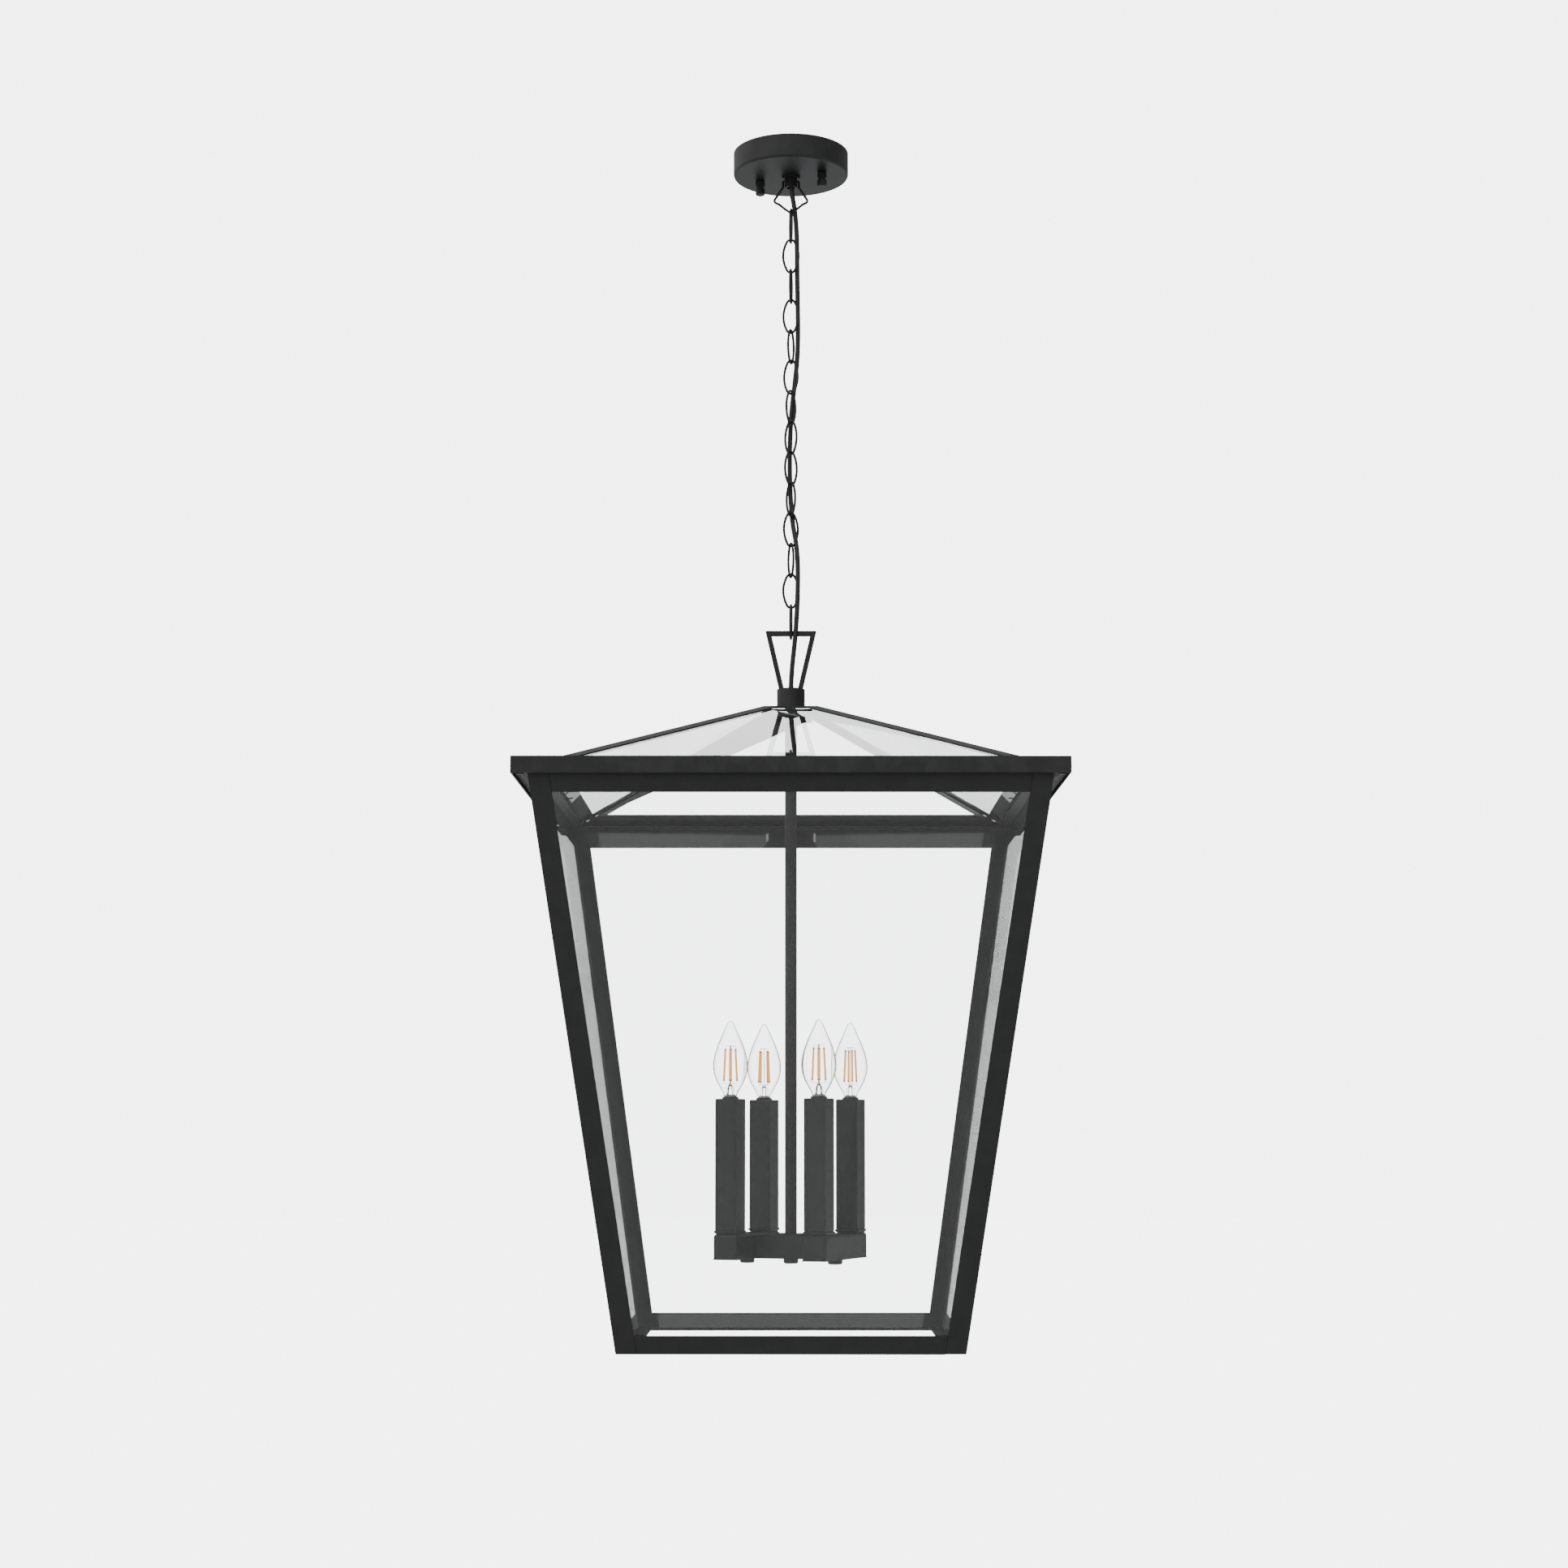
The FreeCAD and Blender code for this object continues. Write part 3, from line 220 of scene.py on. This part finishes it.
def zinc(name="zinc_plate", color=(0.52, 0.52, 0.53)):
    mat, shader = finish(name, color, 0.32, 1.0)
    tree = mat.node_tree
    dark = tuple(0.72 * c for c in color)
    cloud = spread(tree, noise(tree, 140, 4), 0, 1)
    tree.links.new(tint(tree, cloud, dark, color), shader.inputs["Base Color"])
    tree.links.new(spread(tree, noise(tree, 300, 3), 0.24, 0.42), shader.inputs["Roughness"])
    bump(tree, shader, noise(tree, 1500, 2), 0.1, 0.0001)
    return mat


def green_metal():
    mat, shader = finish("green_anodised", (0.02, 0.2, 0.07), 0.3, 0.9)
    bump(mat.node_tree, shader, noise(mat.node_tree, 900, 2), 0.1, 0.0001)
    return mat


def sheath():
    """The flex's black sheath: slightly glossy, with faint drawn lines along it and dull patches."""
    mat, shader = finish("black_sheath", (0.012, 0.012, 0.0125), 0.38)
    tree = mat.node_tree
    tree.links.new(spread(tree, noise(tree, 45, 4), 0.3, 0.48), shader.inputs["Roughness"])
    tree.links.new(tint(tree, noise(tree, 80, 3), (0.009, 0.009, 0.0095), (0.016, 0.016, 0.0165)),
                   shader.inputs["Base Color"])
    bump(tree, shader, noise(tree, 500, 3, (1, 1, 0.08)), 0.2, 0.0003)
    return mat


def moulded(name, color, roughness):
    mat, shader = finish(name, color, roughness)
    tree = mat.node_tree
    uneven = spread(tree, noise(tree, 120, 4), roughness - 0.07, roughness + 0.08)
    tree.links.new(uneven, shader.inputs["Roughness"])
    bump(tree, shader, noise(tree, 700, 3), 0.15, 0.0002)
    return mat


def glass(name, color, roughness, ripple):
    """Clear drawn glass, with the faint waviness of a real sheet."""
    mat, shader = finish(name, color, roughness)
    shader.inputs["Transmission Weight"].default_value = 1.0
    shader.inputs["IOR"].default_value = 1.46
    if ripple:
        bump(mat.node_tree, shader, noise(mat.node_tree, 7, 1), ripple, 0.001)
    return mat


def phosphor():
    """The filaments' amber phosphor, faintly lit."""
    mat, shader = finish("filament_phosphor", (0.86, 0.46, 0.12), 0.55)
    tree = mat.node_tree
    tree.links.new(tint(tree, spread(tree, noise(tree, 900, 2), 0, 1), (0.8, 0.4, 0.09), (0.9, 0.52, 0.16)),
                   shader.inputs["Base Color"])
    shader.inputs["Emission Color"].default_value = (0.95, 0.42, 0.08, 1)
    shader.inputs["Emission Strength"].default_value = 1.3
    return mat


FINISHES = {
    "black_powder_coat": powder_coat(), "zinc_steel": zinc(), "green_screw": green_metal(),
    "flex_sheath": sheath(), "black_rubber": moulded("black_rubber", (0.012, 0.012, 0.012), 0.62),
    "socket_phenolic": moulded("black_phenolic", (0.016, 0.0155, 0.015), 0.36),
    "clear_glass": glass("pane_glass", (0.985, 0.995, 0.99), 0.0, 0.012),
    "lamp_glass": glass("bulb_glass", (1.0, 1.0, 1.0), 0.0, 0.0),
}
NICKEL, WIRE, AMBER = zinc("nickel_shell", (0.6, 0.58, 0.55)), zinc("lead_wire", (0.4, 0.4, 0.41)), phosphor()

# How wide an edge's rounding is on each square-edged node, in mm.
SHARP = {"eave_frame": 0.35, "hip_bars": 0.3, "corner_posts": 0.45, "top_rails": 0.4, "bottom_rails": 0.4,
         "roof_cap_plate": 0.6, "hanger_loop": 0.7, "cluster_bar_left": 0.25, "cluster_bar_right": 0.25,
         "cluster_cross_bar": 0.25, "cluster_cover": 0.25, "candle_cups": 0.6, "candle_sleeves": 0.8,
         "ceiling_strap": 0.4, "stud_lock_nuts": 0.3, "nipple_lock_nut": 0.4}
for side in ("front", "right", "back", "left"):
    SHARP["roof_glass_" + side] = SHARP["side_glass_" + side] = 0.3


def dress_frame():
    """Every CAD node gets its finish; square-edged ones get a small rounding that catches the light."""
    for part in frame["record"]["subparts"]:
        obj = nodes[part["node"]]
        mat = FINISHES[part["material_slot"]]
        if not obj.data.materials:
            obj.data.materials.append(mat)
        for n in range(len(obj.data.materials)):
            obj.data.materials[n] = mat
        if part["node"] in SHARP:
            weld = obj.modifiers.new("weld", "WELD")
            weld.merge_threshold = 0.02 * MM
            bevel = obj.modifiers.new("edges", "BEVEL")
            bevel.width, bevel.segments, bevel.limit_method = SHARP[part["node"]] / 1000, 2, "ANGLE"
            bevel.angle_limit = math.radians(40)
            bevel.harden_normals = True


# ---------------------------------------------------------------- mesh building
def add_mesh(name, verts, faces, mat, slot=None, smooth=40):
    mesh = bpy.data.meshes.new(name)
    mesh.from_pydata([tuple(v) for v in verts], [], faces)
    mesh.update()
    mesh.materials.append(mat)
    obj = bpy.data.objects.new(name, mesh)
    scene.collection.objects.link(obj)
    mesh.shade_smooth()
    if smooth:
        mesh.set_sharp_from_angle(angle=math.radians(smooth))
    return obj


def join_parts(parts):
    """Several (verts, faces) lists as one."""
    verts, faces = [], []
    for part_verts, part_faces in parts:
        base = len(verts)
        verts += part_verts
        faces += [tuple(base + n for n in face) for face in part_faces]
    return verts, faces


def tube(line, radius, sides=16, caps=(True, True)):
    """A round tube along a line; radius is one number or one for each point."""
    radii = [radius] * len(line) if isinstance(radius, (int, float)) else radius
    verts, faces = [], []
    side = None
    for n, point in enumerate(line):
        along = (line[min(n + 1, len(line) - 1)] - line[max(n - 1, 0)]).normalized()
        if side is None:
            side = along.cross(Vector((0, 1, 0))).normalized()
        side = (side - along * side.dot(along)).normalized()
        other = along.cross(side)
        for k in range(sides):
            angle = 2 * math.pi * k / sides
            verts.append(point + (side * math.cos(angle) + other * math.sin(angle)) * radii[n])
    for n in range(len(line) - 1):
        for k in range(sides):
            a, b = n * sides + k, n * sides + (k + 1) % sides
            faces.append((a, b, b + sides, a + sides))
    if caps[0]:
        faces.append(tuple(reversed(range(sides))))
    if caps[1]:
        faces.append(tuple(len(verts) - sides + k for k in range(sides)))
    return verts, faces


def lathe(profile, centre, sides=48, closed=False):
    """A (radius, height) profile turned about the upright line through centre."""
    verts, faces, rows = [], [], []
    for radius, height in profile:
        if radius < 1e-6:
            rows.append([len(verts)])
            verts.append(centre + Vector((0, 0, height)))
            continue
        rows.append(list(range(len(verts), len(verts) + sides)))
        for k in range(sides):
            angle = 2 * math.pi * k / sides
            verts.append(centre + Vector((radius * math.cos(angle), radius * math.sin(angle), height)))
    pairs = list(zip(rows, rows[1:])) + ([(rows[-1], rows[0])] if closed else [])
    for low, high in pairs:
        for k in range(sides):
            a, b = low[k % len(low)], low[(k + 1) % len(low)]
            c, d = high[(k + 1) % len(high)], high[k % len(high)]
            face = [a]
            for v in (b, c, d):
                if v not in face:
                    face.append(v)
            if len(face) > 2:
                faces.append(tuple(face))
    return verts, faces


def eased(points, steps=6):
    """A smooth curve through (radius, height) points."""
    out = []
    count = len(points)
    for n in range(count - 1):
        p = [points[max(n - 1, 0)], points[n], points[n + 1], points[min(n + 2, count - 1)]]
        for k in range(steps):
            t = k / steps
            point = []
            for a, b, c, d in zip(*p):
                square, cube = 2 * a - 5 * b + 4 * c - d, 3 * b - a - 3 * c + d
                point.append(0.5 * (2 * b + (c - a) * t + square * t * t + cube * t ** 3))
            out.append(tuple(point))
    out.append(points[-1])
    return out


# ---------------------------------------------------------------- flex
# Down through the nipple, behind the upper links, through the eleventh to the front, past the loop's
# bar and down the stem: the same route as the flex's solid.
ROUTE = [
    (0.0, 0.0, -1.0), (0.1, 0.2, -20.0), (0.5, 1.3, -39.0), (4.5, 4.8, -60.0), (6.2, 4.6, -85.0),
    (6.5, 4.5, -112.0), (6.7, 3.9, -139.0), (7.2, 3.6, -166.0), (7.5, 4.1, -193.0),
    (6.7, 5.6, -219.0), (3.8, 8.1, -245.0), (0.7, 10.0, -272.0), (-0.8, 10.6, -299.0),
    (-1.3, 10.7, -326.0), (-0.9, 10.4, -352.0), (0.2, 8.6, -374.0), (1.9, 3.2, -395.0),
    (5.9, -3.8, -417.0), (7.3, -6.8, -442.0), (7.0, -7.3, -468.0), (6.0, -6.8, -494.0),
    (4.1, -5.3, -518.0), (1.6, -2.2, -540.0), (0.1, -0.2, -561.0), (0.0, 0.1, -583.0),
    (0.1, 0.0, -612.0), (0.0, 0.1, -655.0), (0.1, -0.1, -710.0), (-0.1, 0.1, -768.0),
    (0.1, 0.0, -826.0), (-0.1, -0.1, -884.0), (0.0, 0.1, -942.0), (0.1, -0.1, -1000.0),
    (-0.1, 0.0, -1057.0), (0.0, 0.0, -1113.0),
]
FLEX_RADIUS, FLEX_SIDES = 0.0025, 20
BEND_REACH = 0.012            # a reach from this far above a joint to this far below it
BAIL_CLEARANCE = 0.004        # the first length's reach starts this far below the bail's pins


def smooth_line(points):
    """A smooth curve along points in mm, as a close row of points in metres."""
    curve = bpy.data.curves.new("route", "CURVE")
    curve.dimensions = "3D"
    spline = curve.splines.new("NURBS")
    spline.points.add(len(points) - 1)
    for knot, point in zip(spline.points, points):
        knot.co = (*(c / 1000 for c in point), 1)
    spline.order_u = 3
    spline.use_endpoint_u = True
    spline.resolution_u = 14
    holder = bpy.data.objects.new("route", curve)
    mesh = bpy.data.meshes.new_from_object(holder)
    line = [v.co.copy() for v in mesh.vertices]
    bpy.data.objects.remove(holder)
    bpy.data.meshes.remove(mesh)
    bpy.data.curves.remove(curve)
    return line


def flex():
    """One tube, divided at the middle of each link into lengths that each span a single joint."""
    line = smooth_line(ROUTE)
    joints = [j for j in frame["joints"] if j["type"] == "hinge" and not j["name"].endswith("_unscrew")]
    joints.sort(key=lambda j: -j["pos_m"][2])
    heights = [j["pos_m"][2] for j in joints]
    cuts = [(heights[0] + 2 * heights[1]) / 3] + [(a + b) / 2 for a, b in zip(heights[1:], heights[2:])]
    stations = []
    for a, b in zip(line, line[1:]):
        stations.append(a)
        for cut in cuts:
            if a.z > cut > b.z:
                stations.append(a.lerp(b, (a.z - cut) / (a.z - b.z)))
    stations.append(line[-1])
    verts, _ = tube(stations, FLEX_RADIUS, FLEX_SIDES)
    marks = [0] + [min(range(len(stations)), key=lambda n: abs(stations[n].z - cut)) for cut in cuts]
    marks.append(len(stations) - 1)
    for n, joint in enumerate(joints):
        low, high = marks[n], marks[n + 1]
        piece = verts[low * FLEX_SIDES:(high + 1) * FLEX_SIDES]
        faces = []
        for ring in range(0, (high - low) * FLEX_SIDES, FLEX_SIDES):
            for k in range(FLEX_SIDES):
                a, b = ring + k, ring + (k + 1) % FLEX_SIDES
                faces.append((a, b, b + FLEX_SIDES, a + FLEX_SIDES))
        if n == 0:
            faces.append(tuple(reversed(range(FLEX_SIDES))))
        if n == len(joints) - 1:
            faces.append(tuple(range(len(piece) - FLEX_SIDES, len(piece))))
        obj = add_mesh("flex_%02d" % n, piece, faces, FINISHES["flex_sheath"], "flex_sheath", 0)
        height = joint["pos_m"][2]
        start, end = height + BEND_REACH, height - BEND_REACH
        if n == 0:
            start, end = height - BAIL_CLEARANCE, cuts[0] + MM
        elif n == 1:
            start = min(start, cuts[0] - 0.5 * MM)
        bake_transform(obj)
        if n == 0:
            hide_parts("flex_cord")


# ---------------------------------------------------------------- candle lamps
# Each lamp is measured in mm from the middle of its glass's foot.
GLASS_HEIGHT, GLASS_WALL = 76, 0.6
SHELL_CREST, SHELL_ROOT, SHELL_PITCH = 5.85, 5.1, 2.0


def lamp_glass(node, centre):
    """The blown candle envelope, and the flared glass stem inside it."""
    outer = eased([(6.6, 0), (7.3, 3.4), (10.4, 8.8), (14.1, 15.6), (16.7, 23.5), (17.4, 31), (16.6, 39),
                   (14.4, 47), (11.4, 55), (8.1, 62.5), (5.1, 69), (2.9, 73.6), (1.4, 75.3), (0, 75.8)])
    shell = [(r * MM, z * MM) for r, z in outer]
    wall = GLASS_WALL * MM
    inner = []
    for n, (r, z) in enumerate(shell):
        a, b = shell[max(n - 1, 0)], shell[min(n + 1, len(shell) - 1)]
        slope = Vector((b[0] - a[0], b[1] - a[1])).normalized()
        inner.append((max(r - wall * slope.y, 0.0), z + wall * slope.x if r > 1e-6 else z - wall))
    envelope = add_mesh(node + "_envelope", *lathe(shell + inner[::-1], centre, 56, True),
                        FINISHES["lamp_glass"], "lamp_glass", 60)
    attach(envelope, node)
    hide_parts(node)

    flare = eased([(4.9, 0.6), (4.4, 3), (4.2, 6.5), (3.7, 8.6), (2.4, 10.4), (1.5, 12), (1.2, 13.6),
                   (0, 14)])
    profile = [(r * MM, z * MM) for r, z in [(4.3, 0.6)] + flare]
    stem = add_mesh(node + "_stem", *lathe(profile, centre, 32), FINISHES["lamp_glass"], "lamp_glass", 60)
    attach(stem, node)


def lamp_filaments(node, centre, turn):
    """Four phosphor rods that lean a little, with their lead wires and ferrules."""
    wires, rods = [], []
    spin = Matrix.Rotation(turn, 3, "Z")

    def at(radius, angle, z):
        return centre + spin @ Vector((radius * math.cos(angle), radius * math.sin(angle), z)) * MM

    feet, tops = 13.6, 50.0
    for k in range(4):
        angle = math.pi / 2 * k
        lean = (0.35, -0.25, 0.3, -0.15)[k]
        foot, top = at(6.4 + lean, angle, feet), at(5.3 - lean, angle + 0.06 * lean, tops)
        rod_low, rod_high = foot.lerp(top, 0.06), foot.lerp(top, 0.93)
        rods.append(tube([rod_low, rod_low.lerp(rod_high, 0.02), rod_low.lerp(rod_high, 0.98), rod_high],
                         [0.7 * MM, 1.05 * MM, 1.05 * MM, 0.7 * MM], 14))
        wires.append(tube([at(0.8, angle, 10.5), at(1.2, angle, 12.6), at(3.6, angle, 13.1), foot, rod_low],
                          0.24 * MM, 8))
        for start, end in ((0.055, 0.085), (0.905, 0.935)):
            wires.append(tube([foot.lerp(top, start), foot.lerp(top, end)], 1.15 * MM, 12))
        bridge = [rod_high, top, at(2.6, angle, tops + 0.9), at(0.4, angle, tops + 0.3)]
        wires.append(tube(bridge, 0.22 * MM, 8))
    wires.append(tube([at(0, 0, 13.2), at(0, 0, tops + 0.3)], 0.3 * MM, 8))
    for x in (-1.6, 1.6):
        lead = [Vector((x, 0, -2)), Vector((0.7 * x, 0, 7)), Vector((0.5 * x, 0, 11))]
        wires.append(tube([centre + point * MM for point in lead], 0.28 * MM, 8))
    leads = add_mesh(node + "_leads", *join_parts(wires), WIRE, "zinc_steel", 40)
    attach(leads, node)
    light = add_mesh(node + "_filaments", *join_parts(rods), AMBER, None, 40)
    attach(light, node)


def lamp_base(node, centre):
    """The nickel screw shell, with rounded ridges for its thread, and the contact below it."""
    profile = [(0, -22), (2.1, -22), (2.6, -21.2), (4.2, -19.5)]
    z = -18.5
    while z < -4.5:
        profile += [(SHELL_ROOT, z), (SHELL_CREST, z + 0.85), (SHELL_CREST, z + 1.05), (SHELL_ROOT, z + 1.9)]
        z += SHELL_PITCH
    profile += [(5.5, -3.4), (6.2, -2.6), (6.3, 0.9), (5.9, 1.1), (0, 1.1)]
    shape = lathe([(r * MM, h * MM) for r, h in profile], centre, 40)
    base = add_mesh(node + "_base", *shape, NICKEL, "zinc_steel", 50)
    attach(base, node)


def lamp(number, turn):
    """One lamp in its node's place; turn is how far its filaments are turned, in radians."""
    node = "lamp_%d" % number
    low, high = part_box(node)
    centre = Vector(((low.x + high.x) / 2, (low.y + high.y) / 2, high.z - GLASS_HEIGHT * MM))
    lamp_glass(node, centre)
    lamp_filaments(node, centre, turn)
    lamp_base(node, centre)


# ---------------------------------------------------------------- making
camera()
floor()
surround()
dress_frame()
flex()
for number, turn in enumerate((0.12, 0.62, -0.1, 0.3), 1):
    lamp(number, turn)
